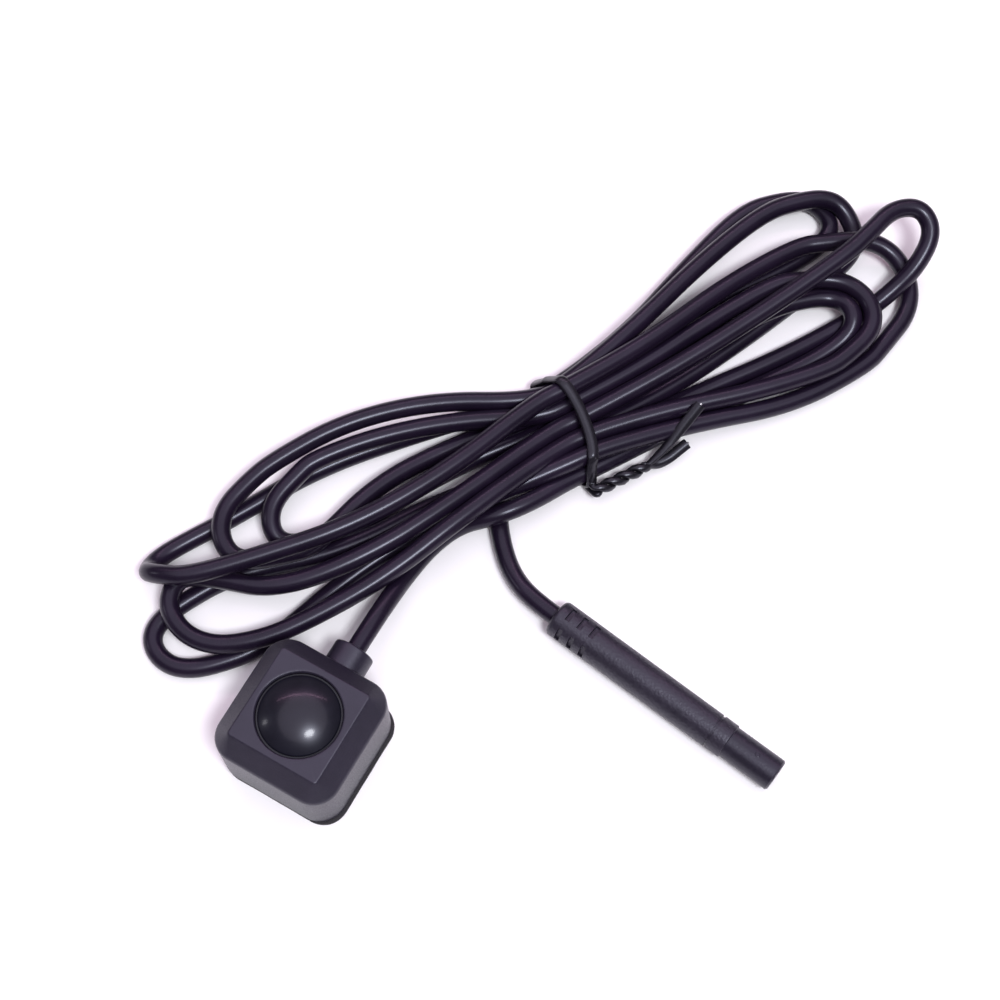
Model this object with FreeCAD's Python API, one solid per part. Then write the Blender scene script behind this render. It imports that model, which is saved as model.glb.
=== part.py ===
import FreeCAD, Part
import math
import os

# Square stick-on backup camera with its cable tied in a hank, millimetres.
# Origin: centre of the adhesive pad's underside. +Z is the way the lens looks,
# +Y is the way the cable leaves the housing.

Vec = FreeCAD.Vector
Z_AXIS = Vec(0, 0, 1)

# ---- driving dimensions -------------------------------------------------
# housing
BODY = 24.0             # side of the square housing
BODY_CORNER = 4.8       # radius of its four upright corners
FACE = 17.5             # side of the flat front face
FACE_CORNER = 0.5       # the front face's own corners are nearly sharp
SIDE_HEIGHT = 12.8      # upright side wall, from the pad to the rim
BEVEL_HEIGHT = 3.6      # sloping faces, from the rim to the front face
RIM_ROUND = 0.5         # rounding of the rim
WALL = 2.0              # side wall
LIP = 1.0               # thinner wall round the rear cover
FRONT_WALL = 1.8        # front wall round the lens
# adhesive pad
PAD = BODY
PAD_CORNER = 4.4
PAD_THICK = 1.0
PAD_OFFSET = 0.5        # stuck on slightly off centre
# rear cover
COVER_THICK = 1.6
COVER_CLEAR = 0.1
GASKET_THICK = 0.6
POST_R = 2.2            # screw posts in the housing's corners
POST_INSET = 1.8        # post centre to the inner wall
POST_HEIGHT = 8.0
# cover screws, M1.6
SCREW_R = 0.8
SCREW_LENGTH = 6.0
SCREW_HEAD_R = 1.4
SCREW_HEAD = 0.8
SCREW_CLEAR = 0.05
HEAD_CLEAR = 0.15
RECESS_R = 0.55         # round driver recess
SCREW_SPARE = 0.5       # screw holes go on past the screws
# board stack
BOARD_GAP = 1.4         # rear cover to the board
BOARD_THICK = 0.8
BOARD_CLEAR = 0.4       # board edge to the wall
POST_CLEAR = 0.3        # board notch to the post
STANDOFF = (2.4, 0.9)
STANDOFF_PITCH = 9.6
SENSOR = 8.0
SENSOR_THICK = 0.9
SENSOR_GLASS = 6.4
SENSOR_GLASS_THICK = 0.4
CHIP = 6.0
CHIP_THICK = 0.9
CHIP_PLACE = (-1.0, -1.5)
CRYSTAL = (2.5, 2.0, 0.7)
CRYSTAL_PLACE = (4.6, -3.6)
REGULATOR = (3.0, 1.6, 1.1)
REGULATOR_PLACE = (4.8, 4.0)
CAPACITOR = (1.0, 0.5, 0.5)
CAPACITOR_PLACE = (-4.5, 6.4)
CAPACITOR_COUNT = 6
CAPACITOR_PITCH = 1.5
# lens holder and its two screws
HOLDER_R = 6.5
HOLDER_HEIGHT = 6.8
HOLDER_FLOOR = 1.2
HOLDER_WEB = 0.6        # web round the window, over the filter
HOLDER_ROOM = 9.0       # square room over the sensor
EAR_REACH = 8.0
EAR_R = 1.5
EAR_CORNER = 1.3
EAR_HEIGHT = 2.6
EAR_ROOF = 0.4          # over the screw hole
EAR_SCREW_R = 0.6
EAR_SCREW_HEAD_R = 1.1
EAR_SCREW_HEAD = 0.7
FILTER = 7.0
FILTER_THICK = 0.3
FILTER_CLEAR = 0.1
FILTER_WINDOW = 5.6
# lens
DOME_R = 7.1
DOME_RISE = 2.5         # domed part, above its cylindrical edge
DOME_EDGE = 1.6         # cylindrical edge
DOME_SINK = 0.5         # top of the edge below the front face
GROOVE = 0.4            # open ring between the dome and the housing
HOLLOW_R = 4.4          # hollow behind the front lens
HOLLOW_DEPTH = 1.2
BARREL_R = 5.4
BARREL_CLEAR = 0.05
BARREL_LIP = 0.3        # wall round the front lens
LIP_DOWN = 0.3          # its top below the lens edge
BARREL_FLOOR = 0.6
FLANGE_R = 8.4
FLANGE_THICK = 1.2
FLANGE_CLEAR = 0.2
SEAL_THICK = 0.5
SPACER_R = 4.6
SPACER_BORE = 3.4
SPACER_THICK = 0.8
ELEMENT_R = (4.6, 3.6)
ELEMENT_THICK = (1.5, 1.6)
ELEMENT_CROWN = (0.6, 0.5)
CROWN_R = 2.6           # domed middle of the third element
ELEMENT_CLEAR = 0.02
RETAINER_R = 3.6
RETAINER_BORE = 2.4
RETAINER_THICK = 1.2
# cable and its gland
CABLE_R = 1.8
GLAND_R = 3.85
GLAND_REACH = 4.7       # collar outside the wall
GLAND_ROUND = 0.4
GLAND_NECK_R = 2.6
GLAND_Z = 7.4
GLAND_CLEAR = 0.03
STOP_R = 2.4            # crimped ring that stops the cable pulling out
STOP_LENGTH = 1.0
STUB_BEYOND = 0.1       # cable end past that ring
WIRE_R = 0.34
WIRE_RING = 0.62        # the four wires round the cable's centre
WIRE_RUN = (1.1, 1.9)   # first run of the lower wires, then of the upper ones
WIRE_PAD = (0.9, 2.6)   # their pads on the board, from the middle
WIRE_FOOT = 0.8         # upright end of each wire
# plug
PLUG_R = 3.5
PLUG_FRONT_R = 3.3
PLUG_LENGTH = 38.0
PLUG_ROUND = 0.9
PLUG_LIFT = 0.05
TIP_R = 3.05
TIP_LENGTH = 10.0
TIP_ROOT_R = 2.5
TIP_ROOT = 5.0
TIP_CHAMFER = 0.3
FERRULE_R = 2.2
FERRULE_LENGTH = 5.0
FERRULE_DEPTH = 14.0    # ferrule's far end, from the plug's cable end
STUB_DEPTH = 15.0       # cable inside the plug
GROOVE_BACK = 3.4       # ring groove, from the front of the overmould
GROOVE_WIDTH = 0.5
GROOVE_DEPTH = 0.25
SLOT_FIRST = 2.6        # strain relief slots
SLOT_PITCH = 2.6
SLOT_COUNT = 3
SLOT_WIDTH = 0.9
SLOT_DEPTH = 0.75
SLOT_SPAN = 2.9         # round the plug
SLOT_TURN = 40.5        # from the middle of the two rows, degrees
PLUG_ROLL = 24.5        # the plug lies rolled over by this much
CONTACT_R = 0.6
CONTACT_BORE = 0.35
CONTACT_RING = 1.35
CONTACT_LENGTH = 9.0
CONTACT_SOLID = 2.0     # solid root of each socket
CONTACT_DOWN = 0.4      # sockets end this far inside the tip
# tie
TIE_THICK = 1.4
TIE_WIDTH = 2.6
TIE_CLEAR = 0.1
TIE_CORE = 0.5
TWIST_R = 1.6
TWIST_START = (-0.6, -11.2, 3.4)
TWIST_END = (12.0, -10.8, 2.4)
PRONGS = (((11.0, -10.5, 2.8), (17.4, -9.2, 5.6), (23.6, -6.8, 9.2)),
          ((11.0, -11.2, 2.2), (15.2, -11.4, 2.3), (19.4, -10.4, 3.0)))
PRONG_R = 0.8

# ---- cable routes and the hank ------------------------------------------
# the lead leaves the gland along +Y; the plug lies along the tail's last run
LEAD_ROUTE = ((0.0, BODY / 2 + GLAND_REACH, GLAND_Z), (0.0, 22.3, GLAND_Z), (-0.2, 28.7, 5.7),
              (-0.5, 35.2, 2.8), (0.2, 42.0, 1.9), (2.6, 48.4, 1.9))
TAIL_ROUTE = ((5.6, 58.6, 1.9), (8.2, 53.2, 1.9), (12.0, 48.4, 1.9), (16.2, 44.6, 2.3),
              (21.4, 42.0, PLUG_R + PLUG_LIFT), (27.2, 41.2, PLUG_R + PLUG_LIFT))

HANK_CENTRE = Vec(12.5, 73.0, 0)
HANK_HEADING = 57.0     # degrees from +X
WAIST = (-8.9, 12.9, TIE_THICK + 2 * TIE_CLEAR, 11.7)
WAIST_HALF = 5.0
WAIST_CORNER = 3.0
# along the hank: lowest and highest across, lowest and highest up
HANK_SECTIONS = (
    (-87.5, -6.6, 3.0, 0.0, 3.8),
    (-83.0, -10.2, 13.6, 0.0, 8.8),
    (-78.0, -11.6, 16.2, 0.0, 11.0),
    (-62.0, -12.5, 19.8, 0.0, 11.9),
    (-44.0, -12.1, 23.0, 0.0, 12.5),
    (-28.0, -9.8, 22.0, 0.0, 12.5),
    (-16.0, -9.8, 17.8, 0.0, 12.3),
    (-WAIST_HALF, ) + WAIST,
    (WAIST_HALF, ) + WAIST,
    (14.0, -9.2, 16.4, 0.0, 11.4),
    (26.0, -11.2, 21.2, 0.0, 10.8),
    (40.0, -13.7, 26.4, 0.0, 11.6),
    (54.0, -13.7, 30.4, 0.0, 13.0),
    (66.0, -11.2, 28.6, 0.0, 14.2),
    (75.0, -6.5, 19.5, 0.0, 14.4),
    (80.0, -1.4, 12.8, 3.0, 14.4),
    (85.0, 2.8, 12.2, 7.6, 14.0),
)
SECTION_CORNER = 0.46   # share of the thinner side, capped
SECTION_CORNER_MAX = 3.6

# ---- places that follow from the sizes ----------------------------------
REAR_Z = PAD_THICK
RIM_Z = REAR_Z + SIDE_HEIGHT
FRONT_Z = RIM_Z + BEVEL_HEIGHT
COVER_TOP = REAR_Z + COVER_THICK
LEDGE_Z = COVER_TOP + GASKET_THICK
CAVITY = BODY - 2 * WALL
CEILING_Z = FRONT_Z - FRONT_WALL
POST_AT = CAVITY / 2 - POST_INSET
BOARD_Z = COVER_TOP + BOARD_GAP
BOARD_TOP = BOARD_Z + BOARD_THICK
FLOOR_TOP = BOARD_TOP + HOLDER_FLOOR + FILTER_THICK
BORE_R = DOME_R + GROOVE
DOME_TOP = FRONT_Z - DOME_SINK
DOME_Z = DOME_TOP - DOME_EDGE
SEAL_Z = CEILING_Z - SEAL_THICK
GLAND_END = BODY / 2 + GLAND_REACH
STUB_Y = CAVITY / 2 - STOP_LENGTH - STUB_BEYOND
SPACER_Z = DOME_Z - SPACER_THICK
SECOND_Z = SPACER_Z - ELEMENT_THICK[0]
THIRD_Z = SECOND_Z - ELEMENT_THICK[1] - ELEMENT_CROWN[0]
RETAINER_Z = THIRD_Z - RETAINER_THICK
BARREL_Z = RETAINER_Z - BARREL_FLOOR
CORNERS = ((1, 1), (1, -1), (-1, -1), (-1, 1))
OVER = 1.0              # cutters reach this far past the face that they cut


# ---- helpers ------------------------------------------------------------
def rounded_wire(width, depth, corner, z, x=0.0, y=0.0):
    """Rounded rectangle in a horizontal plane, centred on x, y."""
    a = width / 2 - corner
    b = depth / 2 - corner
    edges = []
    for turn, (sx, sy) in enumerate(((1, 1), (-1, 1), (-1, -1), (1, -1))):
        centre = Vec(x + sx * a, y + sy * b, z)
        start = math.radians(90 * turn)
        points = [centre + Vec(math.cos(start + s), math.sin(start + s), 0) * corner
                  for s in (0, math.pi / 4, math.pi / 2)]
        if edges:
            edges.append(Part.LineSegment(last, points[0]).toShape())
        edges.append(Part.Arc(*points).toShape())
        last = points[2]
    first = edges[0].Vertexes[0].Point
    edges.append(Part.LineSegment(last, first).toShape())
    return Part.Wire(edges)


def rounded_block(width, depth, corner, z, height, x=0.0, y=0.0):
    face = Part.Face(rounded_wire(width, depth, corner, z, x, y))
    return face.extrude(Vec(0, 0, height))


def block(width, depth, height, x, y, z):
    """Box centred on x, y, standing on z."""
    return Part.makeBox(width, depth, height, Vec(x - width / 2, y - depth / 2, z))


def disc(radius, height, z, x=0.0, y=0.0):
    return Part.makeCylinder(radius, height, Vec(x, y, z), Z_AXIS)


def ring(outer, inner, height, z):
    return disc(outer, height, z).cut(disc(inner, height, z))


def cap(radius, rise, z):
    """Part of a ball, on a disc of the given radius at z."""
    ball = (radius * radius + rise * rise) / (2 * rise)
    sphere = Part.makeSphere(ball, Vec(0, 0, z + rise - ball))
    return sphere.common(disc(radius, rise + OVER, z))


def rod(radius, start, end):
    """Round bar from one point to another."""
    axis = end - start
    return Part.makeCylinder(radius, axis.Length, start, axis)


def bend_radii(points):
    """Arc radius at each inner point of a route."""
    radii = []
    for before, point, after in zip(points, points[1:], points[2:]):
        run_in = point - before
        run_out = after - point
        turn = run_in.getAngle(run_out)
        radii.append(0.45 * min(run_in.Length, run_out.Length) / math.tan(turn / 2))
    return radii


def route_wire(points):
    """Straight runs joined by tangent arcs."""
    edges = []
    here = points[0]
    for before, point, after, radius in zip(points, points[1:], points[2:], bend_radii(points)):
        into = (point - before).normalize()
        out = (after - point).normalize()
        half = into.getAngle(out) / 2
        reach = radius * math.tan(half)
        start = point - into * reach
        end = point + out * reach
        inward = (out - into).normalize()
        middle = point + inward * (radius / math.cos(half) - radius)
        edges.append(Part.LineSegment(here, start).toShape())
        edges.append(Part.Arc(start, middle, end).toShape())
        here = end
    edges.append(Part.LineSegment(here, points[-1]).toShape())
    return Part.Wire(edges)


def tube(points, radius):
    """Round bar along a route."""
    path = route_wire(points)
    circle = Part.Circle(points[0], points[1] - points[0], radius).toShape()
    return path.makePipeShell([Part.Wire(circle)], True, False)


def report_route(name, points, radius):
    path = route_wire(points)
    solid = tube(points, radius)
    share = solid.Volume / (math.pi * radius * radius * path.Length)
    radii = ", ".join("%.1f" % r for r in bend_radii(points))
    print("%s: length %.1f, volume share %.4f, radii %s" % (name, path.Length, share, radii))


def save(name, shape):
    if not shape.isValid():
        print("not valid:", name)
    shape.exportStep("parts/%s.step" % name)


# ---- housing ------------------------------------------------------------
def housing_outside():
    sides = rounded_block(BODY, BODY, BODY_CORNER, REAR_Z, SIDE_HEIGHT)
    rim = rounded_wire(BODY, BODY, BODY_CORNER, RIM_Z)
    face = rounded_wire(FACE, FACE, FACE_CORNER, FRONT_Z)
    bevel = Part.makeLoft([rim, face], True, True)
    body = sides.fuse(bevel).removeSplitter()
    rim_edges = [e for e in body.Edges
                 if abs(e.BoundBox.ZMin - RIM_Z) < 1e-4 and abs(e.BoundBox.ZMax - RIM_Z) < 1e-4]
    return body.makeFillet(RIM_ROUND, rim_edges)


def housing_cavity():
    """Room inside: upright walls, then a narrower room under the sloping faces."""
    low = rounded_block(CAVITY, CAVITY, BODY_CORNER - WALL, LEDGE_Z, RIM_Z - WALL - LEDGE_Z)
    wide = rounded_wire(CAVITY, CAVITY, BODY_CORNER - WALL, RIM_Z - WALL)
    top = 2 * (FLANGE_R + FLANGE_CLEAR)
    narrow = rounded_wire(top, top, BODY_CORNER - WALL, CEILING_Z)
    return low.fuse(Part.makeLoft([wide, narrow], True, True))


def post_places():
    return [(sx * POST_AT, sy * POST_AT) for sx, sy in CORNERS]


def front_housing():
    body = housing_outside().cut(housing_cavity())
    seat = BODY - 2 * LIP
    body = body.cut(rounded_block(seat, seat, BODY_CORNER - LIP, REAR_Z, LEDGE_Z - REAR_Z))
    for x, y in post_places():
        post = disc(POST_R, POST_HEIGHT, COVER_TOP, x, y)
        body = body.fuse(post.common(rounded_block(BODY, BODY, BODY_CORNER, REAR_Z, SIDE_HEIGHT)))
    body = body.cut(disc(BORE_R, FRONT_WALL, CEILING_Z))
    body = body.cut(gasket_space())
    for x, y in post_places():
        body = body.cut(disc(SCREW_R + SCREW_CLEAR, SCREW_LENGTH + SCREW_SPARE, COVER_TOP, x, y))
    hole = rod(GLAND_NECK_R + GLAND_CLEAR, Vec(0, CAVITY / 2 - OVER, GLAND_Z),
               Vec(0, BODY / 2 + OVER, GLAND_Z))
    return body.cut(hole).removeSplitter()


def gasket_space():
    """Ring between the rear cover and the housing's ledge."""
    seat = BODY - 2 * LIP
    outer = rounded_block(seat, seat, BODY_CORNER - LIP, COVER_TOP, GASKET_THICK)
    inner = rounded_block(CAVITY, CAVITY, BODY_CORNER - WALL, COVER_TOP, GASKET_THICK)
    return outer.cut(inner)


def cover_gasket():
    return gasket_space()


def rear_cover():
    side = BODY - 2 * LIP - 2 * COVER_CLEAR
    plate = rounded_block(side, side, BODY_CORNER - LIP - COVER_CLEAR, REAR_Z, COVER_THICK)
    for x, y in post_places():
        plate = plate.cut(disc(SCREW_R + HEAD_CLEAR, COVER_THICK, REAR_Z, x, y))
        plate = plate.cut(disc(SCREW_HEAD_R + HEAD_CLEAR, SCREW_HEAD, REAR_Z, x, y))
    length, width = STANDOFF
    for side_sign in (-1, 1):
        for end_sign in (-1, 1):
            x = end_sign * STANDOFF_PITCH / 2
            y = side_sign * (CAVITY / 2 - BOARD_CLEAR - width)
            plate = plate.fuse(block(length, width, BOARD_GAP, x, y, COVER_TOP))
    return plate.removeSplitter()


def cover_screws():
    screws = []
    for x, y in post_places():
        head = disc(SCREW_HEAD_R, SCREW_HEAD, REAR_Z, x, y)
        shank = disc(SCREW_R, SCREW_LENGTH + SCREW_HEAD, REAR_Z, x, y)
        screw = head.fuse(shank).removeSplitter()
        screws.append(screw.cut(disc(RECESS_R, SCREW_HEAD / 2, REAR_Z, x, y)))
    return Part.makeCompound(screws)


def adhesive_pad():
    return rounded_block(PAD, PAD, PAD_CORNER, 0, PAD_THICK, PAD_OFFSET)


# ---- board stack --------------------------------------------------------
def circuit_board():
    side = CAVITY - 2 * BOARD_CLEAR
    board = block(side, side, BOARD_THICK, 0, 0, BOARD_Z)
    for x, y in post_places():
        board = board.cut(disc(POST_R + POST_CLEAR, BOARD_THICK, BOARD_Z, x, y))
    for x, y in post_places():
        outside = BODY / 2
        corner = block(outside, outside, BOARD_THICK, math.copysign(POST_AT + outside / 2, x),
                       math.copysign(POST_AT + outside / 2, y), BOARD_Z)
        board = board.cut(corner)
    for sign in (-1, 1):
        board = board.cut(disc(EAR_SCREW_R + SCREW_CLEAR, BOARD_THICK, BOARD_Z, sign * EAR_REACH))
    return board.removeSplitter()


def sensor_package():
    body = block(SENSOR, SENSOR, SENSOR_THICK, 0, 0, BOARD_TOP)
    well = block(SENSOR_GLASS, SENSOR_GLASS, SENSOR_GLASS_THICK, 0, 0,
                 BOARD_TOP + SENSOR_THICK - SENSOR_GLASS_THICK)
    return body.cut(well)


def sensor_glass():
    return block(SENSOR_GLASS, SENSOR_GLASS, SENSOR_GLASS_THICK, 0, 0,
                 BOARD_TOP + SENSOR_THICK - SENSOR_GLASS_THICK)


def video_processor():
    return block(CHIP, CHIP, CHIP_THICK, *CHIP_PLACE, BOARD_Z - CHIP_THICK)


def crystal():
    length, width, height = CRYSTAL
    return block(length, width, height, *CRYSTAL_PLACE, BOARD_Z - height)


def regulator():
    length, width, height = REGULATOR
    return block(length, width, height, *REGULATOR_PLACE, BOARD_Z - height)


def capacitors():
    length, width, height = CAPACITOR
    first_x, y = CAPACITOR_PLACE
    row = []
    for index in range(CAPACITOR_COUNT):
        x = first_x + index * CAPACITOR_PITCH
        row.append(block(length, width, height, x, y, BOARD_Z - height))
    return Part.makeCompound(row)


def lens_holder():
    body = disc(HOLDER_R, HOLDER_HEIGHT, BOARD_TOP)
    ears = rounded_block(2 * (EAR_REACH + EAR_R), 2 * EAR_R, EAR_CORNER, BOARD_TOP, EAR_HEIGHT)
    body = body.fuse(ears)
    body = body.cut(block(HOLDER_ROOM, HOLDER_ROOM, HOLDER_FLOOR, 0, 0, BOARD_TOP))
    filter_side = FILTER + 2 * FILTER_CLEAR
    body = body.cut(block(filter_side, filter_side, FILTER_THICK, 0, 0, BOARD_TOP + HOLDER_FLOOR))
    body = body.cut(block(FILTER_WINDOW, FILTER_WINDOW, HOLDER_WEB, 0, 0, FLOOR_TOP))
    body = body.cut(disc(BARREL_R + BARREL_CLEAR, HOLDER_HEIGHT, FLOOR_TOP + HOLDER_WEB))
    for sign in (-1, 1):
        hole = disc(EAR_SCREW_R + SCREW_CLEAR, EAR_HEIGHT - EAR_ROOF, BOARD_TOP, sign * EAR_REACH)
        body = body.cut(hole)
    return body.removeSplitter()


def ir_filter():
    return block(FILTER, FILTER, FILTER_THICK, 0, 0, BOARD_TOP + HOLDER_FLOOR)


def holder_screws():
    screws = []
    for sign in (-1, 1):
        x = sign * EAR_REACH
        head = disc(EAR_SCREW_HEAD_R, EAR_SCREW_HEAD, BOARD_Z - EAR_SCREW_HEAD, x)
        shank = disc(EAR_SCREW_R, BOARD_THICK + EAR_HEIGHT - 2 * EAR_ROOF, BOARD_Z, x)
        screws.append(head.fuse(shank).removeSplitter())
    return Part.makeCompound(screws)


# ---- lens ---------------------------------------------------------------
def front_lens():
    edge = disc(DOME_R, DOME_EDGE, DOME_Z)
    dome = cap(DOME_R, DOME_RISE, DOME_TOP)
    hollow = cap(HOLLOW_R, HOLLOW_DEPTH, DOME_Z)
    return edge.fuse(dome).removeSplitter().cut(hollow)


def lens_barrel():
    body = disc(BARREL_R, SEAL_Z - BARREL_Z, BARREL_Z)
    body = body.fuse(disc(FLANGE_R, FLANGE_THICK, SEAL_Z - FLANGE_THICK))
    body = body.fuse(disc(DOME_R + BARREL_LIP, DOME_TOP - LIP_DOWN - SEAL_Z, SEAL_Z))
    body = body.cut(disc(DOME_R + ELEMENT_CLEAR, FRONT_Z - DOME_Z, DOME_Z))
    body = body.cut(disc(SPACER_R + ELEMENT_CLEAR, DOME_Z - SECOND_Z, SECOND_Z))
    body = body.cut(disc(ELEMENT_R[1] + ELEMENT_CLEAR, SECOND_Z - RETAINER_Z, RETAINER_Z))
    body = body.cut(disc(RETAINER_BORE, BARREL_FLOOR, BARREL_Z))
    return body.removeSplitter()


def lens_seal():
    return ring(FLANGE_R, DOME_R + BARREL_LIP, SEAL_THICK, SEAL_Z)


def lens_spacer():
    return ring(SPACER_R, SPACER_BORE, SPACER_THICK, SPACER_Z)


def second_element():
    plate = disc(ELEMENT_R[0], ELEMENT_THICK[0], SECOND_Z)
    return plate.cut(cap(SPACER_BORE, ELEMENT_CROWN[0], SECOND_Z))


def third_element():
    plate = disc(ELEMENT_R[1], ELEMENT_THICK[1], THIRD_Z)
    crown = cap(CROWN_R, ELEMENT_CROWN[1], THIRD_Z + ELEMENT_THICK[1])
    return plate.fuse(crown).removeSplitter()


def barrel_retainer():
    return ring(RETAINER_R, RETAINER_BORE, RETAINER_THICK, RETAINER_Z)


# ---- cable end at the housing -------------------------------------------
def cable_gland():
    collar = rod(GLAND_R, Vec(0, BODY / 2, GLAND_Z), Vec(0, GLAND_END, GLAND_Z))
    far_edge = [e for e in collar.Edges if abs(e.BoundBox.YMin - GLAND_END) < 1e-4
                and abs(e.BoundBox.YMax - GLAND_END) < 1e-4]
    collar = collar.makeFillet(GLAND_ROUND, far_edge)
    neck = rod(GLAND_NECK_R, Vec(0, CAVITY / 2, GLAND_Z), Vec(0, BODY / 2, GLAND_Z))
    bore = rod(CABLE_R + GLAND_CLEAR, Vec(0, 0, GLAND_Z), Vec(0, BODY, GLAND_Z))
    return collar.fuse(neck).cut(bore).removeSplitter()


def cable_stub():
    return rod(CABLE_R, Vec(0, STUB_Y, GLAND_Z), Vec(0, GLAND_END, GLAND_Z))


def cable_stop():
    start = Vec(0, CAVITY / 2 - STOP_LENGTH, GLAND_Z)
    end = Vec(0, CAVITY / 2, GLAND_Z)
    return rod(STOP_R, start, end).cut(rod(CABLE_R + GLAND_CLEAR, start, end))


def wire(side, level):
    """One wire, from the cable's end forwards and then down to its pad."""
    x = side * WIRE_RING
    z = GLAND_Z + (WIRE_RING if level else -WIRE_RING)
    bend_y = STUB_Y - WIRE_RUN[level]
    pad_x = side * WIRE_PAD[level]
    foot = Vec(pad_x, bend_y, BOARD_TOP)
    return tube([Vec(x, STUB_Y, z), Vec(x, bend_y, z), foot + Vec(0, 0, WIRE_FOOT), foot], WIRE_R)


# ---- plug ---------------------------------------------------------------
def plug_frame():
    """Placement that takes a plug drawn along +X to where it lies."""
    end = Vec(*TAIL_ROUTE[-1])
    turn = FreeCAD.Rotation(Vec(1, 0, 0), end - Vec(*TAIL_ROUTE[-2]))
    return FreeCAD.Placement(end, turn)


def along(radius, start, length, y=0.0, z=0.0):
    return Part.makeCylinder(radius, length, Vec(start, y, z), Vec(1, 0, 0))


def placed(shape):
    moved = shape.copy()
    moved.Placement = plug_frame().multiply(moved.Placement)
    return moved


def plug_overmould():
    body = Part.makeCone(PLUG_R, PLUG_FRONT_R, PLUG_LENGTH, Vec(0, 0, 0), Vec(1, 0, 0))
    back_edge = [e for e in body.Edges if e.BoundBox.XMax < 1e-4]
    body = body.makeFillet(PLUG_ROUND, back_edge)
    groove_x = PLUG_LENGTH - GROOVE_BACK
    groove = along(PLUG_R + OVER, groove_x, GROOVE_WIDTH)
    body = body.cut(groove.cut(along(PLUG_FRONT_R - GROOVE_DEPTH, groove_x, GROOVE_WIDTH)))
    for index in range(SLOT_COUNT):
        x = SLOT_FIRST + index * SLOT_PITCH
        for turn in (PLUG_ROLL - SLOT_TURN, PLUG_ROLL + SLOT_TURN):
            slot = block(SLOT_WIDTH, SLOT_SPAN, PLUG_R, x, 0, PLUG_R - SLOT_DEPTH)
            slot.rotate(Vec(0, 0, 0), Vec(1, 0, 0), turn)
            body = body.cut(slot)
    body = body.cut(along(CABLE_R + GLAND_CLEAR, 0, STUB_DEPTH))
    body = body.cut(along(FERRULE_R, FERRULE_DEPTH - FERRULE_LENGTH, FERRULE_LENGTH))
    return placed(body.cut(along(TIP_ROOT_R, PLUG_LENGTH - TIP_ROOT, TIP_ROOT)))


def plug_stub():
    return placed(along(CABLE_R, 0, STUB_DEPTH))


def plug_ferrule():
    start = FERRULE_DEPTH - FERRULE_LENGTH
    tube_wall = along(FERRULE_R, start, FERRULE_LENGTH)
    return placed(tube_wall.cut(along(CABLE_R + GLAND_CLEAR, start, FERRULE_LENGTH)))


def contact_places():
    angles = [math.radians(45 + 90 * quarter) for quarter in range(4)]
    return [(CONTACT_RING * math.cos(a), CONTACT_RING * math.sin(a)) for a in angles]


def plug_tip():
    end = PLUG_LENGTH + TIP_LENGTH
    body = along(TIP_R, PLUG_LENGTH, TIP_LENGTH)
    end_edge = [e for e in body.Edges if abs(e.BoundBox.XMin - end) < 1e-4]
    body = body.makeChamfer(TIP_CHAMFER, end_edge)
    body = body.fuse(along(TIP_ROOT_R, PLUG_LENGTH - TIP_ROOT, TIP_ROOT))
    for y, z in contact_places():
        body = body.cut(along(CONTACT_R, end - CONTACT_LENGTH, CONTACT_LENGTH, y, z))
    return placed(body.removeSplitter())


def plug_contacts():
    start = PLUG_LENGTH + TIP_LENGTH - CONTACT_LENGTH
    sockets = []
    for y, z in contact_places():
        body = along(CONTACT_R, start, CONTACT_LENGTH - CONTACT_DOWN, y, z)
        bore = along(CONTACT_BORE, start + CONTACT_SOLID, CONTACT_LENGTH, y, z)
        sockets.append(placed(body.cut(bore)))
    return Part.makeCompound(sockets)


# ---- hank and tie -------------------------------------------------------
def hank_frame():
    turn = FreeCAD.Rotation(Z_AXIS, HANK_HEADING)
    return FreeCAD.Placement(HANK_CENTRE, turn)


def in_hank(shape):
    """Takes a shape drawn along +X to the hank's place and heading."""
    moved = shape.copy()
    moved.Placement = hank_frame().multiply(moved.Placement)
    return moved


def section_wire(u, low_v, high_v, low_z, high_z, corner):
    """Rounded rectangle across the hank, at u along it."""
    flat = rounded_wire(high_v - low_v, high_z - low_z, corner, 0)
    stand = FreeCAD.Rotation(Vec(0, 1, 0), Vec(0, 0, 1), Vec(1, 0, 0), "ZXY")
    middle = Vec(u, (low_v + high_v) / 2, (low_z + high_z) / 2)
    flat.Placement = FreeCAD.Placement(middle, stand)
    return flat


def section_corner(low_v, high_v, low_z, high_z):
    return min(SECTION_CORNER * min(high_v - low_v, high_z - low_z), SECTION_CORNER_MAX)


def hank_body():
    wires = []
    for u, low_v, high_v, low_z, high_z in HANK_SECTIONS:
        corner = section_corner(low_v, high_v, low_z, high_z)
        if (low_v, high_v, low_z, high_z) == WAIST:
            corner = WAIST_CORNER
        wires.append(section_wire(u, low_v, high_v, low_z, high_z, corner))
    return in_hank(Part.makeLoft(wires, True, True))


def tie_room():
    """Room in the hank for the tie's twisted ends, open upwards."""
    start = Vec(*TWIST_START)
    end = Vec(*TWIST_END)
    room = rod(TWIST_R + TIE_CLEAR, start, end)
    half = PRONG_R + TIE_CLEAR
    for prong in PRONGS:
        points = [Vec(*p) for p in prong]
        room = room.fuse(tube(points, half))
        for a, b in zip(points, points[1:]):
            rise = Vec(0, 0, WAIST[3])
            across = (b - a).cross(Z_AXIS).normalize()
            side = -across * half
            curtain = Part.Face(Part.makePolygon([a + side, b + side, b + side + rise,
                                                  a + side + rise, a + side]))
            room = room.fuse(curtain.extrude(across * (2 * half)))
    return in_hank(room)


def cable_tube(route):
    return tube([Vec(*p) for p in route], CABLE_R)


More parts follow.
